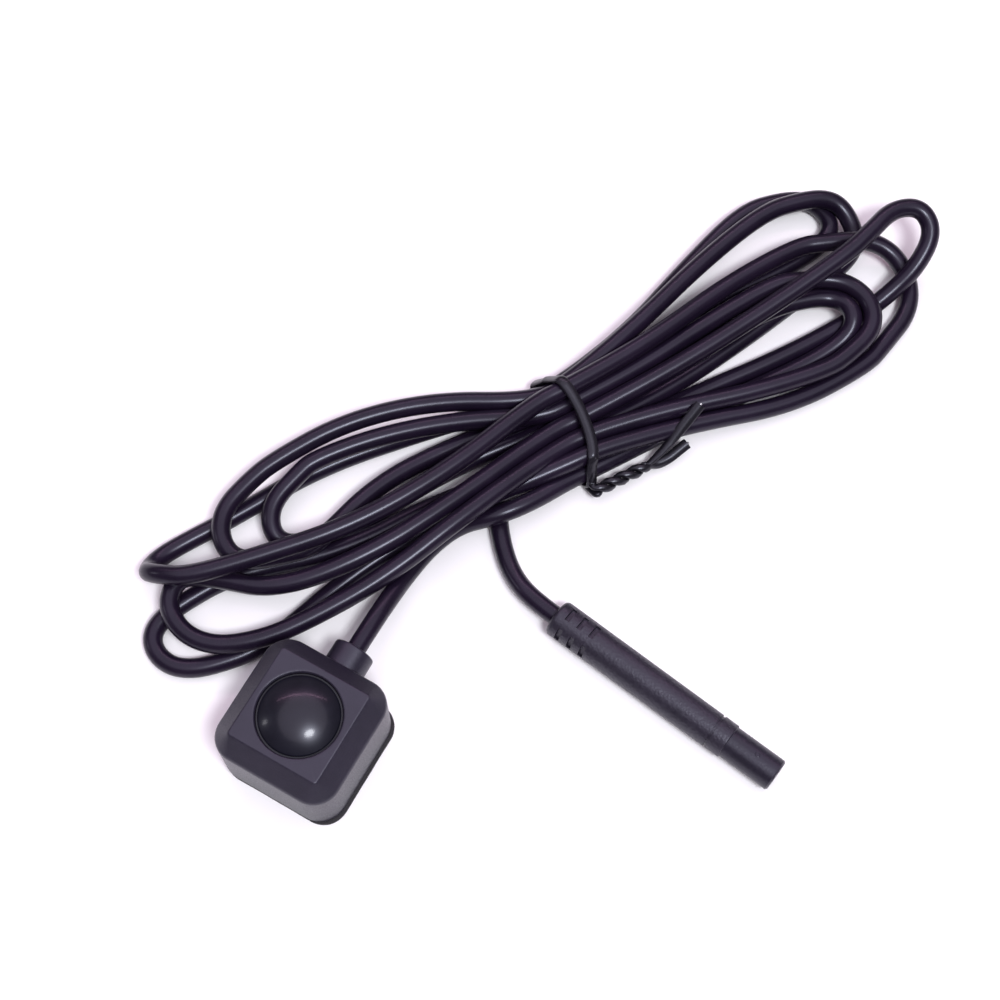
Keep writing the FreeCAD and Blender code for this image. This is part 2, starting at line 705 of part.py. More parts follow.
def band(gap, thickness, width):
    """Closed band round the waist, its inner face a gap away from it."""
    low_v, high_v, low_z, high_z = WAIST
    inner = section_wire(-width / 2, low_v - gap, high_v + gap, low_z - gap, high_z + gap,
                         WAIST_CORNER + gap)
    reach = gap + thickness
    outer = section_wire(-width / 2, low_v - reach, high_v + reach, low_z - reach, high_z + reach,
                         WAIST_CORNER + reach)
    along_hank = Vec(width, 0, 0)
    return Part.Face(outer).extrude(along_hank).cut(Part.Face(inner).extrude(along_hank))


def tie_core_parts():
    loop = band(TIE_CLEAR + (TIE_THICK - TIE_CORE) / 2, TIE_CORE, TIE_CORE)
    prongs = [tube([Vec(*p) for p in prong], TIE_CORE / 2) for prong in PRONGS]
    return [loop] + prongs


def tie_jacket():
    loop = band(TIE_CLEAR, TIE_THICK, TIE_WIDTH)
    twist = rod(TWIST_R, Vec(*TWIST_START), Vec(*TWIST_END))
    body = loop.fuse(twist)
    for prong in PRONGS:
        body = body.fuse(tube([Vec(*p) for p in prong], PRONG_R))
    for core in tie_core_parts():
        body = body.cut(core)
    return in_hank(body)


def tie_wire():
    return Part.makeCompound([in_hank(core) for core in tie_core_parts()])


# ---- export -------------------------------------------------------------
os.makedirs("parts", exist_ok=True)
for make in (front_housing, rear_cover, cover_gasket, cover_screws, adhesive_pad, circuit_board,
             sensor_package, sensor_glass, video_processor, crystal, regulator, capacitors,
             lens_holder, ir_filter, holder_screws, front_lens, lens_barrel, lens_seal,
             lens_spacer, second_element, third_element, barrel_retainer, cable_gland,
             cable_stub, cable_stop, plug_overmould, plug_stub, plug_ferrule, plug_tip,
             plug_contacts, tie_jacket, tie_wire):
    save(make.__name__, make())
for colour, side, level in (("red", -1, 1), ("yellow", -1, 0), ("white", 1, 0), ("black", 1, 1)):
    save("wire_" + colour, wire(side, level))
lead = cable_tube(LEAD_ROUTE)
tail = cable_tube(TAIL_ROUTE)
hank = hank_body()
hank = hank.cut(lead).cut(tail).cut(tie_room())
save("cable_hank", max(hank.Solids, key=lambda solid: solid.Volume))
save("cable_lead", lead)
save("cable_tail", tail)
report_route("lead", [Vec(*p) for p in LEAD_ROUTE], CABLE_R)
report_route("tail", [Vec(*p) for p in TAIL_ROUTE], CABLE_R)
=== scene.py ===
import math

import bpy
import numpy as np
from mathutils import Matrix, Vector


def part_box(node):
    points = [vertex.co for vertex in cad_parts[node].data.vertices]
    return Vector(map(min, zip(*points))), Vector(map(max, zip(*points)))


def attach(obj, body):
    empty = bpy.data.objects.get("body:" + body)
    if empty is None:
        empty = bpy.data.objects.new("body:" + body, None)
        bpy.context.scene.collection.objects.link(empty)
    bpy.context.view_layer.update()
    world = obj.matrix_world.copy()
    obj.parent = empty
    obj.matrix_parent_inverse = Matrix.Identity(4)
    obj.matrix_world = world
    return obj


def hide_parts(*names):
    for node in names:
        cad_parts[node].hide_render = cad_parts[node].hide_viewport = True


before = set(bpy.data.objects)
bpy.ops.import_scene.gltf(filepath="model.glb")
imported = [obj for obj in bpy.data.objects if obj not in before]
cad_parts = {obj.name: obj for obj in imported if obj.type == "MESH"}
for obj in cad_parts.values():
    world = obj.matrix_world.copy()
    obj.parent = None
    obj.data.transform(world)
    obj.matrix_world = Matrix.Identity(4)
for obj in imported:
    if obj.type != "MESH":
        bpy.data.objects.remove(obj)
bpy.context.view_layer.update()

MM = 0.001
scene = bpy.context.scene


# ---- materials ----------------------------------------------------------
def new_material(name):
    """A material with its node tree and its shader."""
    mat = bpy.data.materials.new(name)
    mat.use_nodes = True
    tree = mat.node_tree
    return mat, tree, tree.nodes["Principled BSDF"]


def object_coords(tree, stretch=(1, 1, 1)):
    """The piece's own coordinates, in metres, stretched for brushed marks."""
    coords = tree.nodes.new("ShaderNodeTexCoord")
    mapping = tree.nodes.new("ShaderNodeMapping")
    mapping.inputs["Scale"].default_value = stretch
    tree.links.new(coords.outputs["Object"], mapping.inputs["Vector"])
    return mapping.outputs["Vector"]


def noise(tree, coords, size, detail=3.0, roughness=0.55, distortion=0.0):
    """Noise with features about size metres across."""
    node = tree.nodes.new("ShaderNodeTexNoise")
    node.inputs["Scale"].default_value = 1 / size
    node.inputs["Detail"].default_value = detail
    node.inputs["Roughness"].default_value = roughness
    node.inputs["Distortion"].default_value = distortion
    tree.links.new(coords, node.inputs["Vector"])
    return node.outputs["Fac"]


def cells(tree, coords, size):
    """Distance from the middles of cells about size metres across."""
    node = tree.nodes.new("ShaderNodeTexVoronoi")
    node.inputs["Scale"].default_value = 1 / size
    tree.links.new(coords, node.inputs["Vector"])
    return node.outputs["Distance"]


def spread(tree, value, low, high, start=0.3, end=0.7):
    """Maps a pattern's range to low and high."""
    node = tree.nodes.new("ShaderNodeMapRange")
    node.inputs["From Min"].default_value = start
    node.inputs["From Max"].default_value = end
    node.inputs["To Min"].default_value = low
    node.inputs["To Max"].default_value = high
    tree.links.new(value, node.inputs["Value"])
    return node.outputs["Result"]


def colours(tree, value, dark, light, start=0.32, end=0.68):
    """Maps a pattern's range to a dark and a light colour."""
    node = tree.nodes.new("ShaderNodeValToRGB")
    node.color_ramp.elements[0].position = start
    node.color_ramp.elements[0].color = (*dark, 1)
    node.color_ramp.elements[1].position = end
    node.color_ramp.elements[1].color = (*light, 1)
    tree.links.new(value, node.inputs["Fac"])
    return node.outputs["Color"]


def relief(tree, height, strength, depth, under=None):
    """Bumps of a pattern, depth metres high, over those of under."""
    node = tree.nodes.new("ShaderNodeBump")
    node.inputs["Strength"].default_value = strength
    node.inputs["Distance"].default_value = depth
    tree.links.new(height, node.inputs["Height"])
    if under is not None:
        tree.links.new(under, node.inputs["Normal"])
    return node.outputs["Normal"]


COOL = (0.84, 0.86, 1.0, 1)     # tint of what dark plastic and glass reflect


def plastic(name, dark, light, rough, grain, depth, patch=4.0, specular=0.5):
    """Moulded plastic: patchy colour and gloss over a fine grain, sizes in millimetres."""
    mat, tree, shader = new_material(name)
    coords = object_coords(tree)
    patches = noise(tree, coords, patch * MM, 4.0, 0.6)
    fine = noise(tree, coords, grain * MM, 2.0, 0.5)
    tree.links.new(colours(tree, patches, dark, light), shader.inputs["Base Color"])
    tree.links.new(spread(tree, fine, rough[0], rough[1]), shader.inputs["Roughness"])
    wide = relief(tree, patches, 0.25, 0.04 * MM)
    tree.links.new(relief(tree, fine, 0.5, depth * MM, wide), shader.inputs["Normal"])
    shader.inputs["Specular IOR Level"].default_value = specular
    shader.inputs["Specular Tint"].default_value = COOL
    return mat


def metal(name, dark, light, rough, brushed=(1, 1, 1)):
    """Bare metal with fine marks, which can be stretched one way."""
    mat, tree, shader = new_material(name)
    coords = object_coords(tree, brushed)
    fine = noise(tree, coords, 0.2 * MM, 3.0, 0.6)
    tree.links.new(colours(tree, fine, dark, light), shader.inputs["Base Color"])
    tree.links.new(spread(tree, fine, rough[0], rough[1]), shader.inputs["Roughness"])
    tree.links.new(relief(tree, fine, 0.3, 0.01 * MM), shader.inputs["Normal"])
    shader.inputs["Metallic"].default_value = 1.0
    return mat


def glossy(name, dark, light, rough, specular=0.5, coat=1.0):
    """Polished glass or acrylic, with the faintest smears."""
    mat, tree, shader = new_material(name)
    coords = object_coords(tree)
    smears = noise(tree, coords, 5 * MM, 3.0, 0.6, 0.6)
    tree.links.new(colours(tree, smears, dark, light), shader.inputs["Base Color"])
    tree.links.new(spread(tree, smears, rough[0], rough[1]), shader.inputs["Roughness"])
    shader.inputs["Specular IOR Level"].default_value = specular
    shader.inputs["Specular Tint"].default_value = COOL
    shader.inputs["Coat Weight"].default_value = coat
    shader.inputs["Coat Roughness"].default_value = 0.13
    return mat


def laminate(name):
    """Green solder mask over copper tracks."""
    mat, tree, shader = new_material(name)
    coords = object_coords(tree)
    tracks = tree.nodes.new("ShaderNodeTexBrick")
    tracks.inputs["Scale"].default_value = 420.0
    tracks.inputs["Color1"].default_value = (0.010, 0.075, 0.030, 1)
    tracks.inputs["Color2"].default_value = (0.012, 0.095, 0.038, 1)
    tracks.inputs["Mortar"].default_value = (0.020, 0.140, 0.060, 1)
    tree.links.new(coords, tracks.inputs["Vector"])
    tree.links.new(tracks.outputs["Color"], shader.inputs["Base Color"])
    weave = noise(tree, coords, 0.3 * MM)
    tree.links.new(spread(tree, weave, 0.3, 0.45), shader.inputs["Roughness"])
    tree.links.new(relief(tree, tracks.outputs["Fac"], 0.4, 0.03 * MM), shader.inputs["Normal"])
    return mat


def foam(name):
    """Matt foam with fine open pores."""
    mat, tree, shader = new_material(name)
    coords = object_coords(tree)
    pores = cells(tree, coords, 0.22 * MM)
    tree.links.new(colours(tree, pores, (0.030, 0.028, 0.034), (0.012, 0.011, 0.014), 0.1, 0.6),
                   shader.inputs["Base Color"])
    tree.links.new(spread(tree, pores, 0.95, 0.75, 0.1, 0.6), shader.inputs["Roughness"])
    tree.links.new(relief(tree, pores, 0.8, 0.08 * MM), shader.inputs["Normal"])
    return mat


MATERIALS = {
    "housing_plastic": plastic("housing_plastic", (0.0088, 0.0068, 0.0150), (0.0130, 0.0100, 0.0205),
                               (0.33, 0.47), 0.28, 0.040, specular=0.62),
    "pad_foam": foam("pad_foam"),
    "seal_rubber": plastic("seal_rubber", (0.010, 0.010, 0.011), (0.016, 0.015, 0.017),
                           (0.6, 0.75), 0.1, 0.01),
    "screw_steel": metal("screw_steel", (0.42, 0.42, 0.44), (0.56, 0.56, 0.58), (0.22, 0.38)),
    "board_laminate": laminate("board_laminate"),
    "chip_epoxy": plastic("chip_epoxy", (0.012, 0.012, 0.013), (0.020, 0.020, 0.021),
                          (0.55, 0.7), 0.06, 0.008),
    "part_ceramic": plastic("part_ceramic", (0.30, 0.22, 0.14), (0.40, 0.30, 0.20),
                            (0.35, 0.5), 0.08, 0.004),
    "crystal_can": metal("crystal_can", (0.60, 0.60, 0.62), (0.72, 0.72, 0.74), (0.2, 0.32),
                         (1, 8, 1)),
    "lens_glass": glossy("lens_glass", (0.0040, 0.0041, 0.0078), (0.0064, 0.0065, 0.0120),
                         (0.29, 0.35), specular=0.34, coat=0.24),
    "inner_glass": glossy("inner_glass", (0.02, 0.02, 0.03), (0.03, 0.03, 0.045), (0.02, 0.05)),
    "filter_glass": glossy("filter_glass", (0.10, 0.02, 0.03), (0.14, 0.03, 0.05), (0.03, 0.06)),
    "barrel_plastic": plastic("barrel_plastic", (0.006, 0.006, 0.007), (0.010, 0.010, 0.011),
                              (0.5, 0.65), 0.08, 0.006),
    "cable_pvc": plastic("cable_pvc", (0.0062, 0.0036, 0.0105), (0.0108, 0.0062, 0.0165),
                         (0.24, 0.34), 0.10, 0.003, patch=9.0, specular=0.34),
    "plug_pvc": plastic("plug_pvc", (0.0088, 0.0068, 0.0135), (0.0140, 0.0108, 0.0195),
                        (0.32, 0.52), 0.45, 0.160, specular=0.62),
    "tip_plastic": plastic("tip_plastic", (0.0088, 0.0070, 0.0135), (0.0125, 0.0100, 0.0190),
                           (0.30, 0.42), 0.40, 0.060),
    "contact_brass": metal("contact_brass", (0.62, 0.44, 0.18), (0.74, 0.54, 0.24), (0.2, 0.35)),
    "tie_plastic": plastic("tie_plastic", (0.0050, 0.0045, 0.0068), (0.0085, 0.0075, 0.0110),
                           (0.24, 0.36), 0.14, 0.008, patch=2.5, specular=0.45),
    "tie_steel": metal("tie_steel", (0.35, 0.35, 0.36), (0.50, 0.50, 0.52), (0.3, 0.45)),
    "wire_red_pvc": plastic("wire_red_pvc", (0.40, 0.012, 0.010), (0.50, 0.020, 0.015),
                            (0.35, 0.45), 0.08, 0.004),
    "wire_yellow_pvc": plastic("wire_yellow_pvc", (0.60, 0.42, 0.02), (0.70, 0.50, 0.03),
                               (0.35, 0.45), 0.08, 0.004),
    "wire_white_pvc": plastic("wire_white_pvc", (0.62, 0.62, 0.60), (0.74, 0.74, 0.72),
                              (0.35, 0.45), 0.08, 0.004),
    "wire_black_pvc": plastic("wire_black_pvc", (0.010, 0.010, 0.010), (0.018, 0.018, 0.018),
                              (0.35, 0.45), 0.08, 0.004),
}

NODE_SLOTS = {
    "front_housing": "housing_plastic", "rear_cover": "housing_plastic",
    "cover_gasket": "seal_rubber", "cover_screws": "screw_steel", "adhesive_pad": "pad_foam",
    "circuit_board": "board_laminate", "sensor_package": "chip_epoxy",
    "sensor_glass": "inner_glass", "video_processor": "chip_epoxy", "crystal": "crystal_can",
    "regulator": "chip_epoxy", "capacitors": "part_ceramic", "lens_holder": "barrel_plastic",
    "ir_filter": "filter_glass", "holder_screws": "screw_steel", "front_lens": "lens_glass",
    "lens_barrel": "barrel_plastic", "lens_seal": "seal_rubber", "lens_spacer": "barrel_plastic",
    "second_element": "inner_glass", "third_element": "inner_glass",
    "barrel_retainer": "barrel_plastic", "cable_gland": "housing_plastic",
    "cable_stub": "cable_pvc", "cable_stop": "screw_steel", "plug_overmould": "plug_pvc",
    "plug_stub": "cable_pvc", "plug_ferrule": "contact_brass", "plug_tip": "tip_plastic",
    "plug_contacts": "contact_brass", "tie_jacket": "tie_plastic", "tie_wire": "tie_steel",
    "wire_red": "wire_red_pvc", "wire_yellow": "wire_yellow_pvc",
    "wire_white": "wire_white_pvc", "wire_black": "wire_black_pvc",
    "cable_hank": "cable_pvc", "cable_lead": "cable_pvc", "cable_tail": "cable_pvc",
}
for node, slot in NODE_SLOTS.items():
    data = bpy.data.objects[node].data
    data.materials.clear()
    data.materials.append(MATERIALS[slot])


# ---- mesh helpers -------------------------------------------------------
def add_mesh(name, points, faces, slot, smooth_angle=38.0):
    """A piece riding on the object's one body, its points in metres."""
    mesh = bpy.data.meshes.new(name)
    mesh.from_pydata([tuple(p) for p in points], [], faces)
    mesh.validate()
    mesh.materials.append(MATERIALS[slot])
    for face in mesh.polygons:
        face.use_smooth = True
    mesh.set_sharp_from_angle(angle=math.radians(smooth_angle))
    piece = bpy.data.objects.new(name, mesh)
    scene.collection.objects.link(piece)
    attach(piece, "root")
    return piece


def weighted(piece):
    """Shades flat faces flat beside their rounded edges."""
    modifier = piece.modifiers.new("weighted", "WEIGHTED_NORMAL")
    modifier.keep_sharp = True
    modifier.weight = 80
    return piece


def skin(rings, closed=True, first_cap=False, last_cap=False):
    """Points and faces over rings of equal point counts."""
    count = len(rings[0])
    points = [p for ring in rings for p in ring]
    faces = []
    for row in range(len(rings) - 1):
        for i in range(count if closed else count - 1):
            j = (i + 1) % count
            a = row * count
            b = a + count
            faces.append((a + i, a + j, b + j, b + i))
    if first_cap:
        faces.append(tuple(range(count - 1, -1, -1)))
    if last_cap:
        start = (len(rings) - 1) * count
        faces.append(tuple(range(start, start + count)))
    return points, faces


def square_ring(half, corner, z, centre=(0.0, 0.0), straight=16, arc=12):
    """Rounded square in a horizontal plane, millimetres in, metres out."""
    inner = half - corner
    ring = []
    for turn, (sx, sy) in enumerate(((1, 1), (-1, 1), (-1, -1), (1, -1))):
        for step in range(arc + 1):
            angle = math.radians(90 * turn + 90 * step / arc)
            ring.append((sx * inner + corner * math.cos(angle),
                         sy * inner + corner * math.sin(angle)))
        x0, y0 = ring[-1]
        nx, ny = ((-1, 1), (-1, -1), (1, -1), (1, 1))[turn]
        angle = math.radians(90 * turn + 90)
        x1 = nx * inner + corner * math.cos(angle)
        y1 = ny * inner + corner * math.sin(angle)
        for step in range(1, straight):
            share = step / straight
            ring.append((x0 + (x1 - x0) * share, y0 + (y1 - y0) * share))
    return [((centre[0] + x) * MM, (centre[1] + y) * MM, z * MM) for x, y in ring]


def circle_like(square, radius, z):
    """Circle whose points lie in the same directions as a square ring's."""
    ring = []
    for x, y, _ in square:
        length = math.hypot(x, y)
        ring.append((x / length * radius * MM, y / length * radius * MM, z * MM))
    return ring


def eased(start, corner, end, steps=5):
    """Rounds a corner between two points of a profile."""
    rows = []
    for i in range(steps + 1):
        s = i / steps
        rows.append(tuple((1 - s) ** 2 * a + 2 * s * (1 - s) * c + s * s * b
                          for a, c, b in zip(start, corner, end)))
    return rows


def lathe(profile, place, count=128):
    """Rings of a profile of (along, radius) in millimetres about a placement's X axis."""
    rings = []
    for x, r in profile:
        rings.append([place @ Vector((x * MM, r * MM * math.cos(2 * math.pi * i / count),
                                      r * MM * math.sin(2 * math.pi * i / count)))
                      for i in range(count)])
    return rings


def axis_frame(origin, along, up=(0, 0, 1)):
    """Placement with X along a direction and Z as near up as can be."""
    x = Vector(along).normalized()
    y = Vector(up).cross(x).normalized()
    z = x.cross(y)
    turn = Matrix((x, y, z)).transposed().to_4x4()
    return Matrix.Translation(Vector(origin)) @ turn


# ---- the cable ----------------------------------------------------------
CABLE_R = 1.8
LEAD_ROUTE = ((0.0, 16.7, 7.4), (0.0, 22.3, 7.4), (-0.2, 28.7, 5.7),
              (-0.5, 35.2, 2.8), (0.2, 42.0, 1.9), (2.6, 48.4, 1.9))
TAIL_ROUTE = ((5.6, 58.6, 1.9), (8.2, 53.2, 1.9), (12.0, 48.4, 1.9), (16.2, 44.6, 2.3),
              (21.4, 42.0, 3.55), (27.2, 41.2, 3.55))

# The hank's own axes: u along it, v across it, z up, from the middle of its tie.
HANK_CENTRE = np.array([12.5, 73.0])
HANK_HEADING = math.radians(57.0)
HANK_U = np.array([math.cos(HANK_HEADING), math.sin(HANK_HEADING)])
HANK_V = np.array([-HANK_U[1], HANK_U[0]])

# Places (v, z) where the strands pass through the tie, in three layers.
LOW, MIDDLE, HIGH = 3.5, 6.62, 9.74
TIE_SLOTS = {"a0": (-7.0, LOW), "a1": (-3.4, LOW), "a2": (0.2, LOW), "a3": (3.8, LOW),
             "a4": (7.4, LOW), "a5": (11.0, LOW), "b0": (-5.2, MIDDLE), "b1": (-1.6, MIDDLE),
             "b2": (2.0, MIDDLE), "b4": (5.6, MIDDLE), "b3": (9.2, MIDDLE), "c0": (7.4, HIGH)}
# Each loop in turn: the end of the hank it makes, the slots that it leaves and comes
# back to, how far it reaches, its tip's (v, z), and for its two strands v and z at
# three places from the tie outwards and how late they turn in to the tip.
LOOPS = (
    (+1, "a0", "a3", 61.0, (-0.4, 2.4),
     ((-6.6, -6.6, -6.4), (2.2, 1.9, 1.9), 1.0), ((3.8, 4.8, 5.6), (1.9, 1.9, 1.9), 1.0)),
    (-1, "a3", "b4", 57.6, (6.2, 4.6),
     ((5.0, 3.0, -1.0), (1.9, 1.9, 1.9), 1.0), ((12.2, 16.2, 17.2), (6.4, 6.4, 6.6), 1.0)),
    (+1, "b4", "b1", 64.2, (-0.8, 5.8),
     ((6.2, 8.4, 9.8), (6.6, 6.6, 6.8), 1.0), ((-4.2, -7.8, -9.4), (6.6, 6.0, 5.2), 1.0)),
    (-1, "b1", "b2", 79.0, None,
     ((-7.2, -11.0, -11.2), (7.2, 5.4, 3.4), 1.0), ((-2.6, -5.4, -3.4), (8.4, 8.4, 6.8), 1.0)),
    (+1, "b2", "a1", 81.2, None,
     ((2.6, 4.8, 7.2), (8.8, 10.4, 12.8), 1.0), ((-1.0, -2.4, -1.8), (1.9, 1.9, 1.9), 1.0)),
    (-1, "a1", "b0", 85.4, (-1.5, 1.9),
     ((-2.5, -1.0, 5.0), (5.6, 2.4, 1.9), 1.0), ((-3.0, -5.0, -10.4), (3.6, 1.9, 1.9), 1.0)),
    (+1, "b0", "c0", 74.6, (4.4, 4.6),
     ((-7.4, -11.6, -10.8), (3.6, 2.0, 2.4), 1.0), ((9.4, 13.8, 15.8), (9.2, 8.0, 6.4), 1.0)),
    (-1, "c0", "a5", 80.6, (10.6, 6.0),
     ((2.0, 0.3, 3.0), (10.6, 10.8, 10.2), 2.4), ((15.0, 17.2, 15.2), (2.4, 2.4, 2.2), 1.0)),
    (+1, "a5", "a4", 69.0, (20.4, 3.6),
     ((15.0, 22.4, 28.4), (4.0, 4.4, 4.6), 1.0), ((10.0, 14.0, 14.0), (3.0, 3.0, 2.6), 1.0)),
    (-1, "a4", "b3", 66.4, (9.0, 5.8),
     ((9.0, 7.5, 1.0), (2.2, 3.4, 3.6), 1.0), ((17.4, 21.2, 20.0), (7.4, 7.6, 7.6), 1.0)),
    (+1, "b3", "a2", 71.4, (15.4, 5.0),
     ((14.0, 20.4, 24.6), (7.6, 8.0, 8.2), 0.6), ((2.0, 5.0, 8.0), (1.9, 1.9, 1.9), 1.0)),
)
# Two tips twist over: their own control points, in the order that the cable runs.
OWN_TIPS = {
    3: ((-69.6, -10.0, 2.8), (-76.2, -7.2, 2.3), (-80.2, -2.2, 2.2), (-80.6, 4.0, 2.8),
        (-76.4, 8.0, 4.2), (-70.8, 4.6, 5.6)),
    4: ((69.6, 9.0, 13.6), (76.4, 11.5, 13.4), (82.0, 9.6, 12.6), (82.2, 4.4, 10.4),
        (77.0, 0.6, 7.0), (70.8, -0.8, 3.8)),
}
LEAD_IN = ((-20.0, -6.0, 5.7), (-13.0, -7.0, 5.7))
TAIL_OUT = ((-7.0, 0.8, 3.0), (-12.5, 0.4, 2.0))
TIE_HALF = 3.6                  # half of the straight stretch through the tie
STATIONS = (0.30, 0.55, 0.78)   # shares of the reach
TIP_BACK = (0.95, 0.30, 0.0)    # how far behind the tip, in half widths of the loop
TIP_LEFT = (0.86, 0.62, 0.24)   # what is left there of the strand's distance from the tip
TIP_WIDEST = 12.0


def strand(side, slot, reach, course):
    """Control points of one strand, from the tie to where its loop's tip starts."""
    points = [(side * TIE_HALF, ) + TIE_SLOTS[slot]]
    points += [(side * share * reach, v, z) for share, v, z in zip(STATIONS, *course[:2])]
    return points


def tip_half(side, reach, tip, half, course):
    """Control points of half of a rounded tip."""
    across, up, late = course
    return [(side * (reach - back * half), tip[0] + (across[2] - tip[0]) * left ** late,
             tip[1] + (up[2] - tip[1]) * left) for back, left in zip(TIP_BACK, TIP_LEFT)]


def hank_points():
    """Control points of all the turns, in the hank's axes."""
    points = list(LEAD_IN)
    points.append((-TIE_HALF, ) + TIE_SLOTS[LOOPS[0][1]])
    for index, (side, out_slot, back_slot, reach, tip, out, back) in enumerate(LOOPS):
        points += strand(side, out_slot, reach, out)
        if index in OWN_TIPS:
            points += OWN_TIPS[index]
        else:
            half = min(abs(out[0][2] - back[0][2]) / 2, TIP_WIDEST)
            points += tip_half(side, reach, tip, half, out)
            points += tip_half(side, reach, tip, half, back)[::-1]
        points += strand(side, back_slot, reach, back)[::-1]
    points.append((-TIE_HALF, ) + TIE_SLOTS[LOOPS[-1][2]])
    return np.array(points + list(TAIL_OUT))


def from_hank(points):
    """Points in the object's frame, from the hank's axes, in millimetres."""
    points = np.asarray(points, float)
    flat = HANK_CENTRE + points[:, :1] * HANK_U + points[:, 1:2] * HANK_V
    return np.column_stack([flat, points[:, 2]])


def spline_weights(count, per_span=12):
    """Weights of the control points at places along a clamped quadratic spline."""
    rows = []
    for i in range(1, count - 1):
        for t in np.arange(per_span) / per_span:
            row = np.zeros(count)
            before, after = (1 - t) ** 2, t * t
            row[i] += 2 * t * (1 - t)
            if i == 1:
                row[0] += before
            else:
                row[i - 1] += before / 2
                row[i] += before / 2
            if i == count - 2:
                row[count - 1] += after
            else:
                row[i + 1] += after / 2
                row[i] += after / 2
            rows.append(row)
    return np.array(rows)


ALONG_APART = 4         # places nearer along the cable, in diameters, aren't pushed apart
SEARCH_EVERY = 10       # rounds between searches for pairs that are near
SEARCH_MARGIN = 3.0
DAMPING = 0.6
OVERSHOOT = 1.6
SMOOTHING = 0.05        # share of each neighbour's move that a point takes up


def settle(start, held, gap, rounds=260, pull=0.012, sag=0.02):
    """Pushes the turns' control points apart where strands cross, and up off the floor."""
    weights = spline_weights(len(start))
    points = start.copy()
    free = ~held
    line = weights @ points
    along = np.concatenate([[0], np.cumsum(np.linalg.norm(np.diff(line, axis=0), axis=1))])
    first, second = np.triu_indices(len(line), 1)
    apart = along[second] - along[first] > ALONG_APART * gap
    first, second = first[apart], second[apart]
    for turn in range(rounds):
        line = weights @ points
        if turn % SEARCH_EVERY == 0:
            near = np.abs(line[first] - line[second]).max(axis=1) < gap + SEARCH_MARGIN
            i, j = first[near], second[near]
        between = line[i] - line[j]
        distance = np.sqrt((between ** 2).sum(axis=1))
        close = distance < gap
        push = (gap - distance[close])[:, None] * between[close] / distance[close][:, None] / 2
        moves = np.zeros_like(line)
        touched = np.zeros(len(line))
        np.add.at(moves, i[close], push)
        np.add.at(moves, j[close], -push)
        np.add.at(touched, i[close], 1)
        np.add.at(touched, j[close], 1)
        moves /= np.maximum(touched, 1)[:, None]
        sunk = np.maximum(gap / 2 - line[:, 2], 0)
        moves[:, 2] += sunk
        moved = ((touched > 0) | (sunk > 0)).astype(float)
        share = weights.T @ moves / (weights.T @ moved + DAMPING)[:, None]
        offset = points - start + OVERSHOOT * share
        offset[:, 2] -= sag
        offset *= 1 - pull
        beside = offset[:-2] + offset[2:]
        offset[1:-1] = (1 - 2 * SMOOTHING) * offset[1:-1] + SMOOTHING * beside
        offset[held] = 0
        points = start + offset
        points[free, 2] = np.maximum(points[free, 2], gap / 2)
    return points


turns = hank_points()
control = np.vstack([LEAD_ROUTE, from_hank(turns), TAIL_ROUTE])
held = np.ones(len(control), bool)
held[len(LEAD_ROUTE):-len(TAIL_ROUTE)] = np.abs(turns[:, 0]) < TIE_HALF + 0.1
control = settle(control, held, 2 * CABLE_R)

curve = bpy.data.curves.new("cable", "CURVE")
curve.dimensions = "3D"
spline = curve.splines.new("NURBS")
spline.points.add(len(control) - 1)
for point, place in zip(spline.points, control):
    point.co = (*(float(c) * MM for c in place), 1.0)
spline.order_u = 3
spline.use_endpoint_u = True
spline.resolution_u = 10
curve.bevel_depth = CABLE_R * MM
curve.bevel_resolution = 6
curve.use_fill_caps = True
curve.materials.append(MATERIALS["cable_pvc"])
cable = bpy.data.objects.new("cable", curve)
scene.collection.objects.link(cable)
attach(cable, "root")
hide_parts("cable_lead", "cable_hank", "cable_tail")

# ---- housing ------------------------------------------------------------
def box_mm(node):
    """Low and high corners of a CAD node, in millimetres."""
    return [np.array(corner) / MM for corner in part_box(node)]


SIDE_HEIGHT = 12.8
CORNER = 4.8
FACE_HALF = 8.75
FACE_CORNER = 0.5
BORE_R = 7.5
BORE_ROUND = 0.26
WALL_SHOWN = 1.0        # width of the wall's rear edge, which meets the pad
REAR_ROUND = (0.25, 0.3)
RIM_ROUND = 0.55
FACE_ROUND = 0.22
housing_low, housing_high = box_mm("front_housing")
HALF = (housing_high[0] - housing_low[0]) / 2
REAR_Z = housing_low[2]
FRONT_Z = housing_high[2]
RIM_Z = REAR_Z + SIDE_HEIGHT


def slope(share):
    """Half side, corner radius and height on the sloping faces, from the rim up."""
    return (HALF + (FACE_HALF - HALF) * share, CORNER + (FACE_CORNER - CORNER) * share,
            RIM_Z + (FRONT_Z - RIM_Z) * share)


